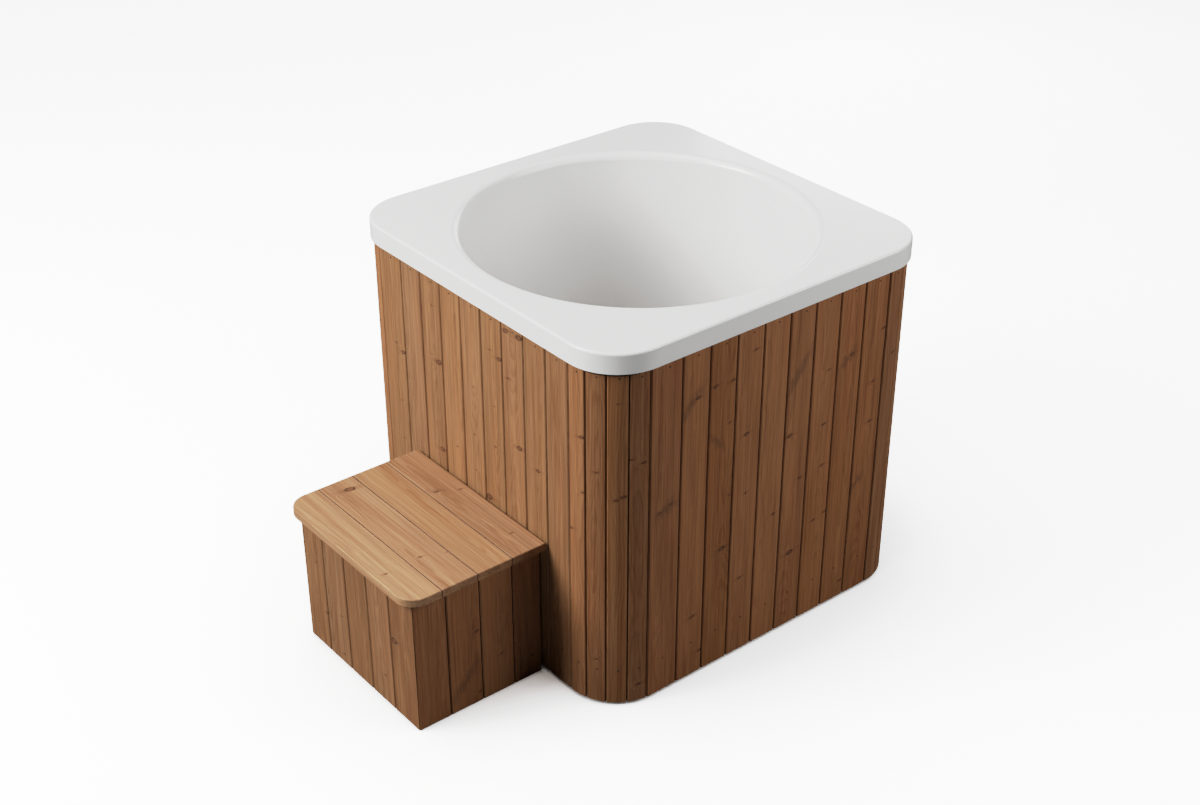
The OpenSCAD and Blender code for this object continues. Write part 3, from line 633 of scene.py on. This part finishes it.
back_knots = (
    ((720, 12, 5), (210, -14, 3)),
    ((540, -8, 7),),
    ((830, 20, 3), (330, 5, 5)),
    ((612, -22, 4),),
    ((455, 16, 6), (760, -10, 2.5)),
    ((270, 9, 3),),
    ((690, -18, 6), (395, 24, 3)),
    ((500, 3, 4),),
    ((860, -12, 3), (150, 18, 5)))
left_tones = (0.38, 0.46, 0.41, 0.36, 0.49, 0.43, 0.37, 0.46, 0.40)
left_knots = (
    ((610, 18, 4),),
    ((800, -12, 5), (300, 20, 3)),
    ((455, 6, 3),),
    ((700, 26, 6), (190, -8, 4)),
    ((545, -20, 3),),
    ((870, 10, 3), (380, 12, 7)),
    ((240, -24, 4),),
    ((655, -4, 5), (520, 28, 3)),
    ((430, 15, 4),))
# The front and left take the plain pine. The right and back take its redder copy, which is painted shade
# colour.
walls = (("front", front_tones, front_knots, None, wood_light, wood_dark),
         ("right", right_tones, right_knots, right_smudges, shade_side_red_light, shade_side_red_dark),
         ("back", back_tones, back_knots, None, shade_side_red_light, shade_side_red_dark),
         ("left", left_tones, left_knots, None, wood_light, wood_dark))
for side, (wall, tones, knots, smudges, light, dark) in enumerate(walls):
    boards, tree, shader = new_material(wall + "_pine", Specular_IOR_Level=0.2)
    x, y, z = split(turned_place(tree, side))
    row = use_group(board_row, Run=x, First_Joint=first_joint, Pitch=board_pitch, Boards=len(tones))
    paint_pine(shader, row, y + clad_face, z, tones, knots, smudges, seed=20.0 * side + 3.0,
               light=light, dark=dark)
    dress(boards, wall + "_boards")


# Corner staves
# Four narrow staves of the same pine close each round corner, coopered to the bend and nailed
# to the curved formers behind them. Their tops carry painted shade: a dark line under the rim's
# overhang, which is widest on the bend.
rim_shade = 893.5
rim_shade_rise = 6.0
bend_middle = 50.0
bend_end = 125.0
stave_light = (0.309, 0.151, 0.070, 1)
stave_dark = (0.158, 0.0645, 0.0262, 1)
corners = (
    ("front_right", (0.42, 0.66, 0.56, 0.53),
     (((475, -17, 4), (726, 15, 5), (584, 18, 3)), ((647, 3, 3), (132, 2, 3)),
      ((824, 1, 2.5), (587, 13, 5), (578, -3, 4)), ((669, 10, 4), (682, -20, 3), (56, 3, 4)))),
    ("back_right", (0.62, 0.50, 0.54, 0.50),
     (((671, 10, 4),), ((350, -8, 5),), ((790, 5, 3), (240, 10, 4)), ((520, -12, 4),))),
    ("back_left", (0.37, 0.45, 0.40, 0.48),
     (((420, 6, 5),), ((700, -10, 3),), ((180, 12, 4),), ((610, 4, 5), (320, -9, 3)))),
    ("front_left", (0.42, 0.36, 0.44, 0.39),
     (((560, -5, 4),), ((830, 8, 3), (290, -6, 5)), ((450, 11, 3),), ((680, -12, 4),))))
for side, (corner, tones, knots) in enumerate(corners):
    staves, tree, shader = new_material(corner + "_stave_pine", Specular_IOR_Level=0.1)
    place = turned_place(tree, side)
    x, y, z = split(place)
    row = use_group(stave_row, Place=place)
    # The painted shade under the rim: away from the bend's middle its lower end rises, until the rim hides
    # it.
    shade_end = spread(abs(x + y), bend_middle, bend_end, rim_shade, rim_shade + rim_shade_rise,
                       "LINEAR")
    row["Edge"] = maths("MINIMUM", row["Edge"], shade_end - z)
    paint_pine(shader, row, row["Depth"], row["Height"], tones, knots, seed=20.0 * side + 13.0,
               light=stave_light, dark=stave_dark)
    dress(staves, corner + "_staves")


# Step
# The tread is four wide boards of the same pine laid from side to side. Its box is boarded
# upright like the tub, with mitred corners at the front.
step_wood_light = (0.414, 0.234, 0.125, 1)
step_wood_dark = (0.206, 0.098, 0.043, 1)
# The step's sides take a redder copy of the pine: painted shade colour, for the side that stands in the
# shade.
step_side_shade_light = (0.325, 0.147, 0.0635, 1)
step_side_shade_dark = (0.166, 0.0625, 0.0237, 1)
step_middle = 13.0
step_half = 238.0
step_left = step_middle - step_half
step_front = -857.0
step_top = 387.0
tread_overhang = 25.0
tread_front = step_front - tread_overhang
tread_run = 400.0
tread_joint = 91.0
tread_pitch = 97.0
step_front_joint = 92.0
step_front_pitch = 94.5
step_side_joint = 90.0
step_side_pitch = 92.75
tread_tones = (0.36, 0.55, 0.53, 0.77)
tread_knots = (
    ((545, -15, 3),),
    ((200, 11, 10), (540, -14, 3.5), (562, 43, 2)),
    (),
    ((367, 25, 3.5), (341, -27, 3.5), (594, 10, 3)))
tread_smudges = {3: (338, -22, 18, 0.5)}
step_front_tones = (0.69, 0.66, 0.78, 0.61, 0.81)
step_front_knots = (
    ((112, 43, 4), (247, 12, 2.5)),
    ((27, 14, 3), (143, 16, 3)),
    (),
    ((344, 8, 4), (80, 14, 3.5)),
    ((212, -31, 9),))
step_side_tones = (0.50, 0.33, 0.16, 0.38)
step_side_knots = (
    (),
    ((208, 33, 4), (29, 37, 3)),
    ((110, 10, 3),),
    ((60, 5, 3),))
step_side_smudges = {1: (79, -3, 40, 1.1)}

tread, tree, shader = new_material("tread_pine", Specular_IOR_Level=0.2)
x, y, z = split(turned_place(tree))
row = use_group(board_row, Run=y - tread_front, First_Joint=tread_joint, Pitch=tread_pitch,
                Boards=len(tread_tones))
paint_pine(shader, row, step_top - z, x + tread_run, tread_tones, tread_knots, tread_smudges, seed=111.0,
           light=step_wood_light, dark=step_wood_dark, joint_or_rim_shade=1.6, fibres=0.38, streaks=0.92)
dress(tread, "step_tread")

front, tree, shader = new_material("step_front_pine", Specular_IOR_Level=0.2)
x, y, z = split(turned_place(tree))
row = use_group(board_row, Run=x - step_left, First_Joint=step_front_joint, Pitch=step_front_pitch,
                Boards=len(step_front_tones))
paint_pine(shader, row, y - step_front, z, step_front_tones, step_front_knots, seed=131.0)
dress(front, "step_front_boards")

# Both sides take the redder copy, which is painted shade colour.
sides, tree, shader = new_material("step_side_pine", Specular_IOR_Level=0.2)
x, y, z = split(turned_place(tree))
row = use_group(board_row, Run=y - step_front, First_Joint=step_side_joint, Pitch=step_side_pitch,
                Boards=len(step_side_tones))
paint_pine(shader, row, step_half - abs(x - step_middle), z, step_side_tones, step_side_knots,
           step_side_smudges, seed=151.0, light=step_side_shade_light, dark=step_side_shade_dark)
dress(sides, "step_left_boards", "step_right_boards")


# Nails
# Steel nails hold every wall board and stave to the rails and formers, one near each end. They
# are driven flush by hand, so none is quite in line, and the damp has darkened them.
nail_heights = (103.0, 886.0)
nail_off = 4.5
nail_scatter = 2.5
stave_nail_turn = 1.5
wide_board_shift = -5.0
nail_rings = ((-0.6, 0.0), (-0.6, 2.3), (0.10, 2.3), (0.25, 1.6), (0.25, 0.0))
nail_dark = (0.016, 0.011, 0.008, 1)
nail_rust = (0.035, 0.019, 0.011, 1)


def cloudy_material(name, color, shade, clouds, specks, low, high, depth, **plain):
    """A material of the cloudy surface kind, with a bump of the same specks."""
    material, tree, shader = new_material(name, **plain)
    look = use_group(cloudy, Place=place_of(tree), Clouds=clouds, Specks=specks, Color=color, Shade=shade,
                     Low_Roughness=low, High_Roughness=high)
    paint(shader, look, 0.4, depth)
    return material


def wrap(form, rings, place, count=48):
    """Adds a skin round a place's z axis, ring by ring.

    A ring is a height and a radius. The radius may be a function of the angle and the height.
    """
    rows = []
    for height, radius in rings:
        row = []
        for i in range(count):
            angle = 2 * pi * i / count
            reach = radius(angle, height) if callable(radius) else radius
            row.append(form.verts.new(place @ Vector((reach * cos(angle), reach * sin(angle), height))))
        rows.append(row)
    for low, high in zip(rows, rows[1:]):
        for i in range(count):
            form.faces.new((low[i], low[i - count + 1], high[i - count + 1], high[i]))


def new_piece(name, form, material, body):
    """Makes a visual piece of a built form and lets it ride on a body."""
    bmesh.ops.remove_doubles(form, verts=form.verts, dist=1e-6)
    bmesh.ops.recalc_face_normals(form, faces=form.faces)
    mesh = bpy.data.meshes.new(name)
    form.to_mesh(mesh)
    form.free()
    mesh.shade_smooth()
    mesh.set_sharp_from_angle(angle=radians(30))
    mesh.materials.append(material)
    piece = bpy.data.objects.new(name, mesh)
    scene.collection.objects.link(piece)
    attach(piece, body)
    return piece


metres = Matrix.Scale(1 / MM, 4)
outwards = Matrix.Rotation(pi / 2, 4, "X")
nails = bmesh.new()
for side in range(4):
    about = metres @ Matrix.Rotation(side * pi / 2, 4, "Z")
    for i in range(len(front_tones)):
        middle = first_joint + board_pitch * (i - 0.5) + (wide_board_shift if i == 0 else 0.0)
        for height in nail_heights:
            off = nail_off + nail_scatter * sin(3.7 * i + 2.1 * side + height)
            spot = Matrix.Translation((middle + off, -clad_face, height))
            wrap(nails, nail_rings, about @ spot @ outwards, count=12)
    for i in range(corner_staves):
        bend = radians(stave_angle * (i + 0.5) - lead_angle + stave_nail_turn)
        for height in nail_heights:
            spot = Matrix.Translation((corner_c + clad_corner_r * sin(bend),
                                       -corner_c - clad_corner_r * cos(bend), height))
            wrap(nails, nail_rings, about @ spot @ Matrix.Rotation(bend, 4, "Z") @ outwards, count=12)
nail_steel = cloudy_material("nail_steel", nail_dark, nail_rust, 300.0, 2500.0, 0.55, 0.80, 0.0002,
                             Specular_IOR_Level=0.3)
new_piece("wall_nails", nails, nail_steel, "tub")


# Frame timber
# Planed spruce: three bearers, the rails all round, the studs, and the step's posts, rails and
# battens. All of it is plain and unstained, and it is screwed together behind the boards.
spruce_light = (0.62, 0.44, 0.24, 1)
spruce_dark = (0.40, 0.24, 0.11, 1)
bearer_pitch = 150.0
step_centre = (step_middle, -680.0)
step_rail_inner = 195.0
diagonal = 0.7
batten_inner = 10.0


def timber(name, nodes, grain, seed, middle=(0.0, 0.0), inner=None):
    """Spruce whose grain runs along x, along z, or round a frame about its middle.

    Each timber gets a number by the side on which it lies. Crossways are those that lie in
    front or behind: farther out in y than in x, or within the inner reach of the middle.
    """
    lumber, tree, shader = new_material(name, Specular_IOR_Level=0.3)
    x, y, z = split(turned_place(tree))
    x = x - middle[0]
    y = y - middle[1]
    if grain == "x":
        number = maths("FLOOR", y / bearer_pitch + 0.5)
        across, depth, along = y - number * bearer_pitch, z, x
    else:
        right = maths("GREATER_THAN", x, 0.0)
        rear = maths("GREATER_THAN", y, 0.0)
        if inner is None:
            crossways = maths("GREATER_THAN", abs(y), abs(x))
        else:
            crossways = 1.0 - maths("GREATER_THAN", abs(x), inner)
        lengthwise = 1.0 - crossways
        if grain == "z":
            number = crossways * 4.0 + right + rear * 2.0
            across, depth, along = x * diagonal + y * diagonal, y, z
        else:
            number = crossways * 4.0 + right * lengthwise + rear * crossways * 2.0
            across, depth, along = y * crossways + x * lengthwise, z, x * crossways + y * lengthwise
    look = use_group(pine, Across=across, Depth=depth, Along=along, Board=number + seed, Tone=0.35,
                     Edge=50.0, Joint=1.0, Knot_Distance=no_knot, Knot_Fan=no_knot, Knot_Push=0.0,
                     Smudge=0.0, Figure=0.5, Fibres=0.8, Streaks=0.8, Light=spruce_light,
                     Dark=spruce_dark)
    paint(shader, look, 0.4, 0.0006)
    dress(lumber, *nodes)


timber("bearer_spruce", ("front_bearer", "middle_bearer", "rear_bearer"), "x", 13.0)
timber("rail_spruce", ("bottom_rails", "top_rails"), "round", 11.0)
timber("stud_spruce", ("studs",), "z", 11.0)
timber("post_spruce", ("step_posts",), "z", 11.0, middle=step_centre)
timber("step_rail_spruce", ("step_top_rails", "step_bottom_rails"), "round", 16.0, middle=step_centre,
       inner=step_rail_inner)
timber("batten_spruce", ("step_battens",), "round", 13.0, middle=step_centre, inner=batten_inner)


# Plywood
# Birch plywood: the panel that carries the bowl, and the curved formers in the corners, which
# are sawn from stacked sheets. Their edges show the plies.
birch_light = (0.60, 0.43, 0.26, 1)
birch_dark = (0.38, 0.24, 0.12, 1)
ply_t = 2.4

birch, tree, shader = new_material("birch_plywood", Specular_IOR_Level=0.3)
x, y, z = split(turned_place(tree))
grain = stretched(y, z, x, wide=2.0, long=90.0)
layer = maths("FRACT", z / (2 * ply_t))
ends = spread(layer, 0.46, 0.50) * spread(layer, 0.96, 1.0, 1.0, 0.0)
tone = maths("ADD", (grain - 0.5) * 1.4, ends * 0.45 + 0.25, clamp=True)
look = {"Color": blend(tone, birch_light, birch_dark),
        "Roughness": spread(grain, 0.3, 0.7, 0.50, 0.68),
        "Height": grain + ends * -0.5}
paint(shader, look, 0.4, 0.0004)
dress(birch, "floor_panel", "bottom_formers", "top_formers")


# Foam jacket
# Rigid foam poured round the bowl, which keeps the water cold. It is cream coloured, and its
# skin is pebbled where the cells burst.
foam_light = (0.82, 0.73, 0.46, 1)
foam_shade = (0.66, 0.55, 0.30, 1)
pebble_scale = 240.0
swell_scale = 14.0

foam, tree, shader = new_material("cream_foam", Specular_IOR_Level=0.2)
cells = {"Vector": place_of(tree), "Scale": pebble_scale}
pebble = 1.0 - value_of(tree, "ShaderNodeTexVoronoi", cells, "Distance", feature="SMOOTH_F1")
swell = noise(place_of(tree), swell_scale, detail=3)
look = {"Color": blend(spread(swell, 0.35, 0.65), foam_light, foam_shade),
        "Roughness": spread(pebble, 0.4, 1.0, 0.92, 0.78),
        "Height": pebble + swell * 3.0}
paint(shader, look, 0.6, 0.0015)
dress(foam, "foam_jacket")


# Rubber
# Black moulded rubber, greyed a little by wear: the pads under the bearers, the drain's two
# gaskets, and the glides that the step stands on.
rubber_black = (0.020, 0.020, 0.021, 1)
rubber_worn = (0.045, 0.044, 0.043, 1)

rubber = cloudy_material("black_rubber", rubber_black, rubber_worn, 22.0, 900.0, 0.60, 0.82, 0.0003,
                         Specular_IOR_Level=0.35)
dress(rubber, "rubber_feet", "drain_gaskets", "step_glides")


# Drain steel
# Spun stainless steel: the flange and its strainer in the bowl's floor, and the collar that
# covers the pipe's hole in the back wall. The spinning left fine rings round each part's middle.
drain_steel_light = (0.66, 0.66, 0.65, 1)
drain_steel_dark = (0.50, 0.50, 0.50, 1)
drain_middle = (0.0, 150.0)
pipe_height = 58.0
strainer_top = 137.5
screw_socket_r = 1.7

# Metal turned on a lathe: rings by the distance from the axis, with cloudy stains over them.
turned_metal, given, made = new_group(
    "turned_metal",
    {"Radius": "Float", "Place": "Vector", "Light": "Color", "Dark": "Color",
     "Low Roughness": "Float", "High Roughness": "Float"}, surface)
lathe = noise(combine(given["Radius"] * 3.2, 0.0, 0.0), detail=4, roughness=0.7)
stains = noise(given["Place"], 38.0, detail=3)
worn = lathe * 0.6 + stains * 0.4
feed(made["Color"], blend(spread(worn, 0.35, 0.65), given["Light"], given["Dark"]))
feed(made["Roughness"], spread(worn, 0.3, 0.7, given["Low Roughness"], given["High Roughness"]))
feed(made["Height"], lathe)


def turned_material(name, light, dark, low, high, axis, **plain):
    """Turned metal about an upright axis, or about the pipe's axis."""
    material, tree, shader = new_material(name, Metallic=1.0, **plain)
    x, y, z = split(turned_place(tree))
    radius = length(x, z - pipe_height) if axis == "pipe" else length(x - axis[0], y - axis[1])
    look = use_group(turned_metal, Radius=radius, Place=place_of(tree), Light=light, Dark=dark,
                     Low_Roughness=low, High_Roughness=high)
    paint(shader, look, 0.3, 0.0001)
    return material


spun = turned_material("spun_steel", drain_steel_light, drain_steel_dark, 0.20, 0.36, drain_middle)
dress(spun, "drain_flange", "drain_strainer")
collar = turned_material("collar_steel", drain_steel_light, drain_steel_dark, 0.22, 0.38, "pipe")
dress(collar, "pipe_collar")


def hexagon(apothem):
    """The radius of a hexagon by angle."""
    return lambda angle, height: apothem / cos((angle + pi / 6) % (pi / 3) - pi / 6)


# The strainer's screw has a domed head with a hexagonal socket.
screw_socket = hexagon(screw_socket_r)
screw_rings = ((-2.0, 0.0), (-2.0, 3.9), (0.4, 3.9), (1.1, 3.4), (1.5, 2.4), (1.55, screw_socket),
               (0.5, screw_socket), (0.5, 0.0))
screw = bmesh.new()
wrap(screw, screw_rings, metres @ Matrix.Translation((*drain_middle, strainer_top)))
new_piece("strainer_screw", screw, spun, "tub")


# Pipe
# Grey plastic pipe, elbow and locknut under the bowl, injection moulded and glued, with a
# slightly uneven sheen.
pipe_grey = (0.165, 0.172, 0.180, 1)
pipe_shade = (0.125, 0.131, 0.138, 1)

pipe = cloudy_material("grey_pipe", pipe_grey, pipe_shade, 9.0, 420.0, 0.34, 0.48, 0.0002, IOR=1.5)
dress(pipe, "drain_locknut", "drain_elbow", "drain_pipe")


# Valve
# A ball valve of cast brass, with hexagons for the wrench and a tailpiece that ends in the
# hose thread. The body is left as cast and the tailpiece is turned.
brass_light = (0.74, 0.52, 0.21, 1)
brass_dark = (0.55, 0.36, 0.13, 1)
tail_start = 568.5
tail_plug = 8.0
hex_length = 12.0
thread_length = 24.0
hex_start = tail_start + tail_plug
thread_start = hex_start + hex_length
thread_end = thread_start + thread_length
tail_plug_r = 24.0
tail_bore_r = 15.0
hex_apothem = 26.85
hex_face_r = 28.4
hex_corner_r = 31.0
hex_bevel = 1.4
bore_bevel = 0.8
thread_crest = 23.9
thread_depth = 1.45
thread_pitch = 2.309
thread_step = 0.3
thread_steepness = 2.4
thread_run_in = 1.5
thread_run_out = 2.0

cast = cloudy_material("cast_brass", brass_light, brass_dark, 60.0, 1400.0, 0.30, 0.46, 0.0004,
                       Metallic=1.0)
dress(cast, "valve_body")
machined = turned_material("turned_brass", brass_light, brass_dark, 0.20, 0.34, "pipe")


def eased(apothem, most):
    """A hexagon whose corners are cut back to a radius."""
    corner = hexagon(apothem)
    return lambda angle, height: min(corner(angle, height), most)


def thread(angle, height):
    """The thread's radius: a helical ridge that fades out at both ends."""
    turn = ((height - thread_start) / thread_pitch - angle / (2 * pi)) % 1.0
    ridge = min(1.0, thread_steepness * min(turn, 1.0 - turn))
    inset = min(1.0, (height - thread_start) / thread_run_in,
                max(0.0, (thread_end - height) / thread_run_out))
    return thread_crest - thread_depth * (1.0 - ridge * inset)


thread_steps = round(thread_length / thread_step)
threads = tuple((thread_start + i * thread_step, thread) for i in range(thread_steps + 1))
hex_face = eased(hex_apothem, hex_face_r)
hex_side = eased(hex_apothem, hex_corner_r)
tail_rings = ((tail_start, tail_bore_r), (tail_start, tail_plug_r), (hex_start, tail_plug_r),
              (hex_start, hex_face), (hex_start + hex_bevel, hex_side),
              (thread_start - hex_bevel, hex_side), (thread_start, hex_face), *threads,
              (thread_end, tail_bore_r + bore_bevel), (thread_end - bore_bevel, tail_bore_r),
              (tail_start, tail_bore_r))
tail_axis = Matrix.Translation((0, 0, pipe_height)) @ Matrix.Rotation(-pi / 2, 4, "X")
tail = bmesh.new()
wrap(tail, tail_rings, metres @ tail_axis, count=96)
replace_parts(new_piece("threaded_tail", tail, machined, "tub"), "valve_tailpiece")


# Valve seats
# Two white rings of slippery plastic that the ball is held between. They seal against it and
# let it turn.
seat_white = (0.83, 0.83, 0.81, 1)
seat_shade = (0.74, 0.74, 0.71, 1)

seats = cloudy_material("white_seat", seat_white, seat_shade, 40.0, 900.0, 0.38, 0.52, 0.0001)
dress(seats, "valve_seats")


# Lever
# A lever pressed from zinc-plated steel, on a turned stem with its nut. The ball under it is
# polished, and the end that the hand takes is dipped in black plastic.
zinc_light = (0.64, 0.64, 0.62, 1)
zinc_dark = (0.47, 0.47, 0.46, 1)
ball_light = (0.72, 0.72, 0.71, 1)
grip_black = (0.024, 0.024, 0.025, 1)
grip_shade = (0.014, 0.014, 0.015, 1)
stem_middle = (0.0, 548.5)

plated = cloudy_material("plated_steel", zinc_light, zinc_dark, 45.0, 1600.0, 0.26, 0.44, 0.0001,
                         Metallic=1.0)
dress(plated, "valve_lever", "lever_nut")
dress(turned_material("stem_steel", zinc_light, zinc_dark, 0.18, 0.30, stem_middle), "valve_stem")
dress(turned_material("polished_ball", ball_light, zinc_light, 0.07, 0.16, stem_middle), "valve_ball")
dipped = cloudy_material("dipped_grip", grip_black, grip_shade, 30.0, 260.0, 0.30, 0.42, 0.0005,
                         Coat_Weight=0.3, Coat_Roughness=0.2)
dress(dipped, "lever_grip")
